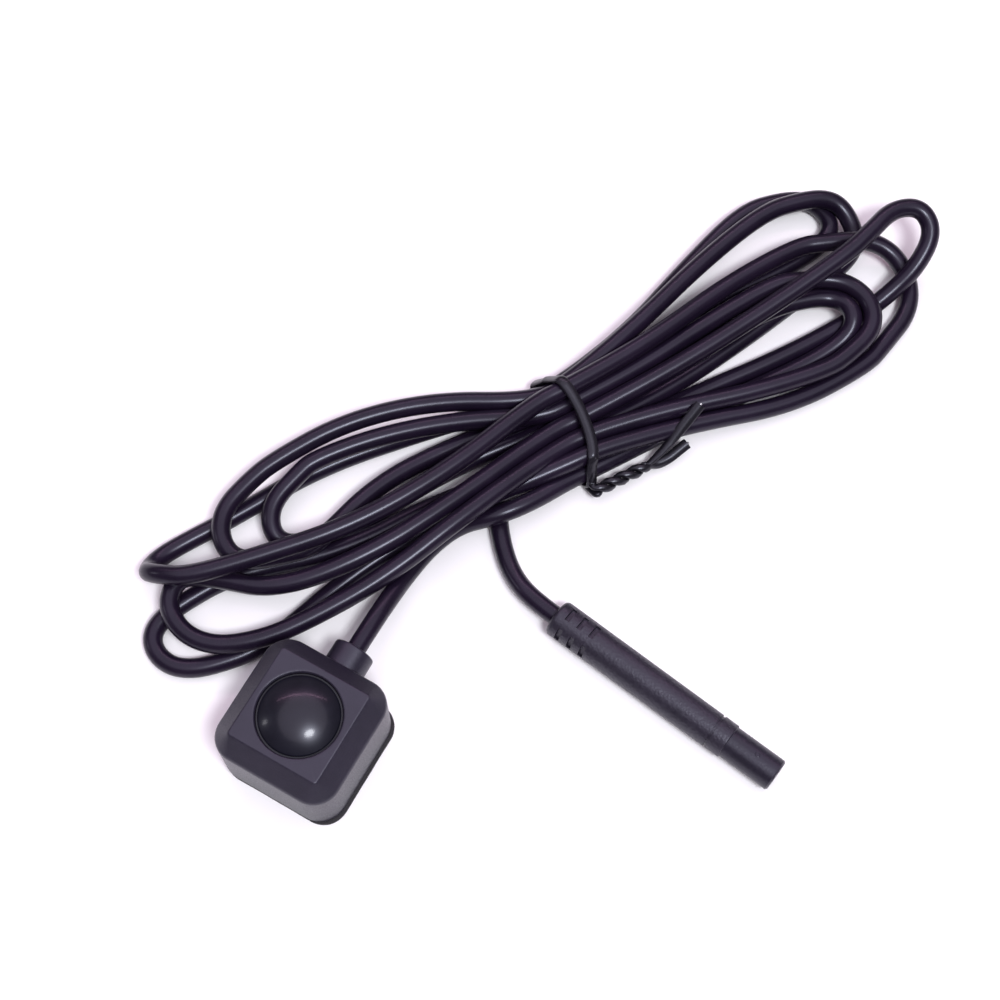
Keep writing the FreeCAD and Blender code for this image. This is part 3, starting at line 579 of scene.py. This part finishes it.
def housing_rings():
    """From inside the rear edge, up the walls, over the front face and into the bore."""
    inset, rise = REAR_ROUND
    wall = (HALF, CORNER)
    inside = (HALF - WALL_SHOWN, CORNER - WALL_SHOWN)
    rows = [(*inside, REAR_Z + 2.2), (*inside, REAR_Z)]
    rows += eased((HALF - inset, CORNER - inset, REAR_Z), (*wall, REAR_Z), (*wall, REAR_Z + rise))
    rows += [(*wall, REAR_Z + 4.0), (*wall, RIM_Z - 3.0)]
    rows += eased((*wall, RIM_Z - RIM_ROUND), (*wall, RIM_Z), slope(0.12), 6)
    rows += [slope(0.3), slope(0.6), slope(0.86)]
    rows += eased(slope(0.95), slope(1.0),
                  (FACE_HALF - FACE_ROUND, FACE_CORNER - FACE_ROUND, FRONT_Z), 4)
    rings = [square_ring(*row) for row in rows]
    face_ring = rings[-1]
    for wider, depth in ((0.6, 0.0), (BORE_ROUND, 0.0), (0.20, 0.03), (0.03, 0.20),
                         (0.0, BORE_ROUND), (0.0, 1.8)):
        rings.append(circle_like(face_ring, BORE_R + wider, FRONT_Z - depth))
    return rings


housing = weighted(add_mesh("housing_shell", *skin(housing_rings()), "housing_plastic", 50))
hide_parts("front_housing")

# ---- lens ---------------------------------------------------------------
DOME_RISE = 2.5
DOME_STEPS = 48
lens_low, lens_high = box_mm("front_lens")
DOME_R = (lens_high[0] - lens_low[0]) / 2
BALL_R = (DOME_R ** 2 + DOME_RISE ** 2) / (2 * DOME_RISE)


def dome_profile():
    """Height and radius up the lens's edge and over its dome, nearly to the middle."""
    edge_z = lens_high[2] - DOME_RISE
    profile = [(lens_low[2], DOME_R - 0.3), (lens_low[2], DOME_R), (edge_z - 0.12, DOME_R),
               (edge_z - 0.04, DOME_R - 0.02)]
    widest = math.asin((DOME_R - 0.10) / BALL_R)
    for step in range(DOME_STEPS + 1):
        angle = widest * (1 - step / DOME_STEPS) + 1e-3
        profile.append((lens_high[2] - BALL_R + BALL_R * math.cos(angle),
                        BALL_R * math.sin(angle)))
    return profile


upright = axis_frame((0, 0, 0), (0, 0, 1), (0, 1, 0))
dome_rings = lathe(dome_profile(), upright, 160)
dome = add_mesh("lens_dome", *skin(dome_rings, last_cap=True), "lens_glass", 60)
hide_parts("front_lens")

# ---- gland --------------------------------------------------------------
gland_low, gland_high = box_mm("cable_gland")
GLAND_R = (gland_high[0] - gland_low[0]) / 2
GLAND_ROUND = 0.45
HOLE_ROUND = 0.55


def gland_profile():
    """Distance from the camera and radius, along the collar and into its hole."""
    end = gland_high[1]
    profile = [(HALF, GLAND_R), (end - 2.9, GLAND_R), (end - 0.55, GLAND_R - 0.02)]
    profile += eased((end - 0.42, GLAND_R - 0.02), (end, GLAND_R), (end, GLAND_R - GLAND_ROUND))
    profile += [(end, CABLE_R + 0.62)]
    profile += eased((end, CABLE_R + HOLE_ROUND), (end, CABLE_R + 0.28),
                     (end - 0.30, CABLE_R + 0.22), 3)
    return profile + [(end - 0.9, CABLE_R + 0.05)]


gland_frame = axis_frame((0, 0, (gland_low[2] + gland_high[2]) / 2 * MM), (0, 1, 0))
gland_rings = lathe(gland_profile(), gland_frame, 96)
gland = weighted(add_mesh("gland_collar", *skin(gland_rings), "housing_plastic", 50))
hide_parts("cable_gland")

# ---- foam pad -----------------------------------------------------------
PAD_CORNER = 4.4
PAD_DENT = 0.012
# Inset of the edge and share of the height, from the underside up.
PAD_ROWS = ((0.30, 0.0), (0.06, 0.0), (0.0, 0.06), (0.02, 0.14), (0.07, 0.20), (0.03, 0.32),
            (0.0, 0.55), (0.03, 0.78), (0.02, 0.90), (0.10, 1.0), (0.6, 1.0))
pad_low, pad_high = box_mm("adhesive_pad")


def pad_rings():
    """Rings of the pad, its edge a little uneven where it was cut."""
    half = (pad_high[0] - pad_low[0]) / 2
    middle = ((pad_low[0] + pad_high[0]) / 2, (pad_low[1] + pad_high[1]) / 2)
    rings = []
    for row, (inset, share) in enumerate(PAD_ROWS):
        height = (pad_low[2] + share * (pad_high[2] - pad_low[2])) * MM
        ring = []
        for i, (x, y, _) in enumerate(square_ring(half - inset, PAD_CORNER - inset, 0.0, middle)):
            dent = PAD_DENT * (math.sin(0.9 * i + row) + math.sin(0.37 * i - 2 * row) - 2) * MM
            length = math.hypot(x, y)
            ring.append((x + dent * x / length, y + dent * y / length, height))
        rings.append(ring)
    return rings


pad = add_mesh("foam_pad", *skin(pad_rings(), first_cap=True, last_cap=True), "pad_foam", 60)
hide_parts("adhesive_pad")

# ---- plug ---------------------------------------------------------------
PLUG_R = 3.5
PLUG_FRONT_R = 3.3
PLUG_LENGTH = 38.0
PLUG_ROUND = 0.9
FRONT_ROUND = 0.25
FRONT_HOLE_R = 3.0
GROOVE_AT = (34.6, 35.1)
GROOVE_DEPTH = 0.25
PLUG_ROLL = 24.5        # the plug lies rolled over by this much
SLOT_TURN = 40.5        # and its two rows of slots are this far to either side of its top
SLOT_CENTRES = (2.6, 5.2, 7.8)
SLOT_HALF = 0.45
SLOT_FLOOR = PLUG_R - 0.75
SLOT_REACH = 1.45
SLOT_EDGE = math.asin(SLOT_REACH / PLUG_R)
SLOT_AT = [math.radians(90 + PLUG_ROLL + turn) for turn in (-SLOT_TURN, SLOT_TURN)]
plug_axis = (Vector(TAIL_ROUTE[-1]) - Vector(TAIL_ROUTE[-2])).normalized()
plug_place = axis_frame(Vector(TAIL_ROUTE[-1]) * MM, plug_axis)


def rounding(radius, distance):
    """What a rounded edge takes off at a distance from the end."""
    return radius - math.sqrt(radius ** 2 - (radius - distance) ** 2) if distance < radius else 0.0


def plug_radius(x):
    """Radius of the overmould at a distance from its cable end."""
    radius = PLUG_R + (PLUG_FRONT_R - PLUG_R) * x / PLUG_LENGTH
    radius -= rounding(PLUG_ROUND, x) + rounding(FRONT_ROUND, PLUG_LENGTH - x)
    if GROOVE_AT[0] < x < GROOVE_AT[1]:
        radius -= GROOVE_DEPTH
    return radius


def plug_stations():
    """Places of the rings along the plug, close together at edges."""
    places = [PLUG_ROUND * (1 - math.cos(math.radians(9 * i))) for i in range(11)]
    places += [1.6, 36.5]
    places += [10.0 + 2.0 * i for i in range(13)]
    places += [PLUG_LENGTH - FRONT_ROUND * math.cos(math.radians(18 * i)) for i in range(6)]
    for centre in SLOT_CENTRES:
        places += [centre]
        for side in (-1, 1):
            places += [centre + side * (SLOT_HALF + step) for step in (-0.02, 0.02, 0.12)]
    for edge in GROOVE_AT:
        places += [edge + step for step in (-0.08, -0.01, 0.01, 0.08)]
    return sorted(places)


def plug_angles():
    """Places of the points round the plug, close together at the slots' ends."""
    angles = [math.radians(3 * i) for i in range(120)]
    for at in SLOT_AT:
        for sign in (-1, 1):
            angles += [at + sign * (SLOT_EDGE + step) for step in (-0.012, -0.003, 0.003, 0.014)]
    return sorted(angles)


PLUG_ANGLES = plug_angles()


def plug_circle(x, radius):
    return [plug_place @ Vector((x * MM, radius * MM * math.cos(a), radius * MM * math.sin(a)))
            for a in PLUG_ANGLES]


def plug_ring(x):
    """Ring of the overmould, with flat floors where it crosses slots."""
    ring = []
    radius = plug_radius(x)
    in_slot = any(abs(x - centre) < SLOT_HALF for centre in SLOT_CENTRES)
    for angle in PLUG_ANGLES:
        y = radius * math.cos(angle)
        z = radius * math.sin(angle)
        for at in SLOT_AT:
            level = radius * math.cos(angle - at)
            if in_slot and abs(angle - at) < SLOT_EDGE and level > SLOT_FLOOR:
                y -= (level - SLOT_FLOOR) * math.cos(at)
                z -= (level - SLOT_FLOOR) * math.sin(at)
        ring.append(plug_place @ Vector((x * MM, y * MM, z * MM)))
    return ring


plug_rings = [plug_circle(0.35, CABLE_R + 0.03), plug_circle(0.0, CABLE_R + 0.15)]
plug_rings += [plug_ring(x) for x in plug_stations()]
plug_rings += [plug_circle(PLUG_LENGTH, FRONT_HOLE_R)]
overmould = add_mesh("plug_body", *skin(plug_rings), "plug_pvc", 42)
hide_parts("plug_overmould")


def moulding_mark(name, x, angle, radius, size, tube, slot):
    """Small raised ring on the plug, as an ejector pin leaves."""
    steps, tube_steps = 32, 8
    rings = []
    for i in range(steps):
        around = 2 * math.pi * i / steps
        mark_x = x + size * math.cos(around)
        mark_angle = angle + size * math.sin(around) / radius
        ring = []
        for j in range(tube_steps):
            turn = 2 * math.pi * j / tube_steps
            r = radius + tube * math.sin(turn)
            out = tube * math.cos(turn)
            a = mark_angle + out * math.sin(around) / radius
            ring.append(plug_place @ Vector(((mark_x + out * math.cos(around)) * MM,
                                             r * math.cos(a) * MM, r * math.sin(a) * MM)))
        rings.append(ring)
    rings.append(rings[0])
    return add_mesh(name, *skin(rings), slot)


TIP_R = 3.05
TIP_MARK_X = 43.4
PLUG_MARK_X = 36.6
moulding_mark("tip_mark", TIP_MARK_X, math.radians(84), TIP_R, 0.42, 0.07, "tip_plastic")
moulding_mark("plug_mark", PLUG_MARK_X, math.radians(70), plug_radius(PLUG_MARK_X), 0.30, 0.06,
              "plug_pvc")

# ---- tie ----------------------------------------------------------------
def along_curve(points, count):
    """Even places along a smooth curve through points."""
    points = np.array(points, float)
    steps = np.linalg.norm(np.diff(points, axis=0), axis=1)
    at = np.concatenate([[0], np.cumsum(steps)])
    padded = np.vstack([2 * points[0] - points[1], points, 2 * points[-1] - points[-2]])
    places = []
    for s in np.linspace(0, at[-1], count):
        i = min(int(np.searchsorted(at, s, side="right")) - 1, len(points) - 2)
        t = (s - at[i]) / (at[i + 1] - at[i])
        a, b, c, d = padded[i:i + 4]
        places.append(0.5 * (2 * b + (c - a) * t + (2 * a - 5 * b + 4 * c - d) * t * t
                             + (3 * b - a - 3 * c + d) * t ** 3))
    return np.array(places)


RIB_HEIGHT = 0.16       # the wire's bulge along the middle of the tie
RIB_WIDTH = 0.42
FLAT_ENDS = 0.8         # below 1, the section is squarer than an ellipse
FLAT_FACES = 0.7


def ribbon_rings(path, wide, width, thick, closed=False, count=20):
    """Rings of a flat oval section, with a rib in its middle, along a path in hank axes."""
    rings = []
    total = len(path)
    for i in range(total):
        if closed:
            ahead = path[(i + 1) % total] - path[i - 1]
        else:
            ahead = path[min(i + 1, total - 1)] - path[max(i - 1, 0)]
        ahead = ahead / np.linalg.norm(ahead)
        across = wide[i] - ahead * np.dot(wide[i], ahead)
        across /= np.linalg.norm(across)
        out = np.cross(ahead, across)
        ring = []
        for j in range(count):
            turn = 2 * math.pi * j / count
            c, s = math.cos(turn), math.sin(turn)
            w = width[i] / 2 * math.copysign(abs(c) ** FLAT_ENDS, c)
            rib = RIB_HEIGHT * math.exp(-(w / RIB_WIDTH) ** 2)
            h = thick / 2 * math.copysign(abs(s) ** FLAT_FACES, s)
            h += math.copysign(rib, s) * abs(s)
            ring.append(path[i] + across * w + out * h)
        rings.append([Vector(p) * MM for p in from_hank(ring)])
    return rings


def joined(parts):
    """Points and faces of several skins as one mesh's."""
    points = []
    faces = []
    for part_points, part_faces in parts:
        offset = len(points)
        points += part_points
        faces += [tuple(offset + i for i in face) for face in part_faces]
    return points, faces


TIE_OFF = 2.5           # from the middle of a strand to the middle of the tie
TIE_WIDTH = 2.1
TIE_THICK = 0.95
# The loop rounds these outer strands, from one angle to another.
HULL = (("a0", 270, 180), ("b0", 160, 120), ("c0", 100, 60), ("b3", 40, 10), ("a5", 0, -90))
HULL_STEPS = 6
# How the loop leans along the hank: over the top at places across, and underneath.
LEAN_V = (-10.0, -8.6, -6.3, -3.4, 0.9, 5.0, 8.5, 11.0, 13.6)
LEAN_U = (-0.9, -0.3, 1.3, 2.3, 2.9, 2.8, 2.2, 1.2, -0.4)
UNDER_V = (-9.0, 13.0)
UNDER_U = (-0.9, -1.0)
LEAN_SMOOTHINGS = 60


def tie_outline():
    """Middle line of the loop round the hank."""
    hull = []
    for slot_name, first_angle, last_angle in HULL:
        v, z = TIE_SLOTS[slot_name]
        for step in range(HULL_STEPS + 1):
            a = math.radians(first_angle + (last_angle - first_angle) * step / HULL_STEPS)
            hull.append((0.0, v + TIE_OFF * math.cos(a), z + TIE_OFF * math.sin(a)))
    outline = along_curve(hull + [hull[0]], 181)[:-1]
    over = outline[:, 2] > 2.0
    lean = np.where(over, np.interp(outline[:, 1], LEAN_V, LEAN_U),
                    np.interp(outline[:, 1], UNDER_V, UNDER_U))
    for _ in range(LEAN_SMOOTHINGS):
        lean = (np.roll(lean, 1) + 2 * lean + np.roll(lean, -1)) / 4
    outline[:, 0] = lean
    return outline


def tie_loop():
    outline = tie_outline()
    wide = np.tile([1.0, 0.0, 0.0], (len(outline), 1))
    width = np.full(len(outline), TIE_WIDTH)
    rings = ribbon_rings(outline, wide, width, TIE_THICK, closed=True)
    return skin(rings + [rings[0]])


TWIST_START = np.array((-0.6, -11.2, 3.4))
TWIST_END = np.array((12.0, -10.8, 2.4))
TWIST_TURNS = 2.0
TWIST_PHASE = 0.6
TWIST_SHARE = 0.93      # where the ends leave each other
TWIST_R = 0.72
TWIST_STEPS = 15
TWIST_WIDTH = 1.5
END_WIDER = 0.6         # an end spreads out by this much past the twist
END_THICK = 0.9
CUT_SHRINK = 0.82
UP = np.array((0.1, -0.3, 1.0))
# Each end's way from the loop to the twist, and its start, elbow and cut past it.
ROOTS = (((0.5, -7.8, 6.6), (-0.1, -8.8, 5.2), (-0.6, -9.6, 4.1)),
         ((-0.9, -7.9, 1.2), (-1.0, -9.2, 1.6)))
PRONGS = (((11.0, -10.5, 2.8), (17.4, -9.2, 5.6), (23.6, -6.8, 9.2)),
          ((11.0, -11.2, 2.2), (15.2, -11.4, 2.3), (19.4, -10.4, 3.0)))
twist_axis = (TWIST_END - TWIST_START) / np.linalg.norm(TWIST_END - TWIST_START)
side_way = np.cross((0, 0, 1), twist_axis)
side_way /= np.linalg.norm(side_way)
up_way = np.cross(twist_axis, side_way)


def end_course(index):
    """Middle line of one end, from the loop, round the other end, to its cut."""
    helix = []
    for step in range(TWIST_STEPS + 1):
        share = step / TWIST_STEPS
        a = 2 * math.pi * TWIST_TURNS * share + math.pi * index + TWIST_PHASE
        close = TWIST_R * min(1.0, 4 * (1 - share) + 0.4)
        helix.append(TWIST_START + (TWIST_END - TWIST_START) * share * TWIST_SHARE
                     + (math.cos(a) * side_way + math.sin(a) * up_way) * close)
    start, elbow, cut = (np.array(p) for p in PRONGS[index])
    return along_curve(np.vstack([ROOTS[index], helix, start * 0.3 + elbow * 0.7, cut]), 150)


def tie_end(index):
    """One end: its flat side faces the twist's axis, then turns upwards past the twist."""
    course = end_course(index)
    from_start = course - TWIST_START
    radial = course - (TWIST_START + np.outer(from_start @ twist_axis, twist_axis))
    radial /= np.maximum(np.linalg.norm(radial, axis=1), 0.3)[:, None]
    past = np.clip(np.linspace(0, 1, len(course)) * 4.2 - 2.6, 0, 1)[:, None]
    radial = radial * (1 - past) + UP * past
    wide = np.cross(np.gradient(course, axis=0), radial)
    rings = ribbon_rings(course, wide, TWIST_WIDTH + END_WIDER * past[:, 0], END_THICK)
    middle = sum(rings[-1], Vector()) / len(rings[-1])
    rings.append([middle + (p - middle) * CUT_SHRINK for p in rings[-1]])
    return skin(rings, first_cap=True, last_cap=True)


tie_parts = [tie_loop()] + [tie_end(index) for index in range(len(PRONGS))]
tie = add_mesh("twist_tie", *joined(tie_parts), "tie_plastic", 45)
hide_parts("tie_jacket")

CORE_R = 0.25
CORE_PROFILE = ((-3.0, CORE_R), (0.20, CORE_R), (0.32, 0.20), (0.34, 0.08))


def core_end(prong):
    """The steel core where it shows at an end's cut."""
    elbow, cut = (np.array(p) for p in prong[1:])
    ahead = (cut - elbow) / np.linalg.norm(cut - elbow)
    here, there = (Vector(p) for p in from_hank([cut, cut + ahead]))
    rings = lathe(CORE_PROFILE, axis_frame(here * MM, there - here), 16)
    return skin(rings, first_cap=True, last_cap=True)


core = add_mesh("tie_core_ends", *joined([core_end(prong) for prong in PRONGS]), "tie_steel")
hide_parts("tie_wire")

# ---- camera, floor and light --------------------------------------------
SENSOR = 36.0
FIELD_OF_VIEW = math.radians(30.91)
EYE = (0.07098, -0.05552, 0.31312)
LOOKS_AT = (0.00636, 0.05717, 0.0)


def aim(thing, place, target):
    """Puts a camera or a light at a place and turns it to a target."""
    thing.location = place
    thing.rotation_euler = (Vector(target) - Vector(place)).to_track_quat("-Z", "Y").to_euler()
    scene.collection.objects.link(thing)


camera_data = bpy.data.cameras.new("camera")
camera_data.sensor_width = SENSOR
camera_data.lens = SENSOR / 2 / math.tan(FIELD_OF_VIEW / 2)
camera_data.clip_start = 0.01
camera = bpy.data.objects.new("camera", camera_data)
aim(camera, EYE, LOOKS_AT)
scene.camera = camera

FLOOR_HALF = 3
floor_mesh = bpy.data.meshes.new("floor")
floor_mesh.from_pydata([(-FLOOR_HALF, -FLOOR_HALF, 0), (FLOOR_HALF, -FLOOR_HALF, 0),
                        (FLOOR_HALF, FLOOR_HALF, 0), (-FLOOR_HALF, FLOOR_HALF, 0)],
                       [], [(0, 1, 2, 3)])
floor_mat, floor_tree, floor_shader = new_material("floor_paper")
floor_coords = object_coords(floor_tree)
floor_noise = noise(floor_tree, floor_coords, 0.02, 4.0, 0.6)
floor_tree.links.new(colours(floor_tree, floor_noise, (0.90, 0.895, 0.90), (0.925, 0.92, 0.925)),
                     floor_shader.inputs["Base Color"])
floor_tree.links.new(spread(floor_tree, floor_noise, 0.55, 0.62), floor_shader.inputs["Roughness"])
floor_shader.inputs["Specular IOR Level"].default_value = 0.2
floor_mesh.materials.append(floor_mat)
floor = bpy.data.objects.new("floor", floor_mesh)
scene.collection.objects.link(floor)

world = bpy.data.worlds.new("studio")
world.use_nodes = True
backdrop = world.node_tree.nodes["Background"]
backdrop.inputs["Color"].default_value = (1.0, 0.88, 0.98, 1)
backdrop.inputs["Strength"].default_value = 0.17
scene.world = world


def softbox(name, place, target, width, height, power, colour):
    """An oval area light, its sizes in metres."""
    data = bpy.data.lights.new(name, "AREA")
    data.shape = "ELLIPSE"
    data.size = width
    data.size_y = height
    data.energy = power
    data.color = colour
    aim(bpy.data.objects.new(name, data), place, target)


MIDDLE_OF_ALL = (0.01, 0.06, 0.0)
softbox("top", (0.0, 0.14, 0.90), (0.0, 0.14, 0.0), 1.65, 1.65, 8.4, (0.95, 0.86, 0.99))
softbox("key", (0.40, -0.18, 0.89), MIDDLE_OF_ALL, 0.30, 0.20, 7.2, (0.95, 0.97, 1.0))
softbox("left", (-0.70, -0.34, 0.36), MIDDLE_OF_ALL, 0.10, 0.14, 0.30, (0.97, 0.95, 1.0))
softbox("strip", (-0.37, 0.64, 0.67), MIDDLE_OF_ALL, 1.60, 0.035, 1.9, (1.0, 0.60, 0.86))

scene.view_settings.view_transform = "Standard"
scene.view_settings.look = "None"
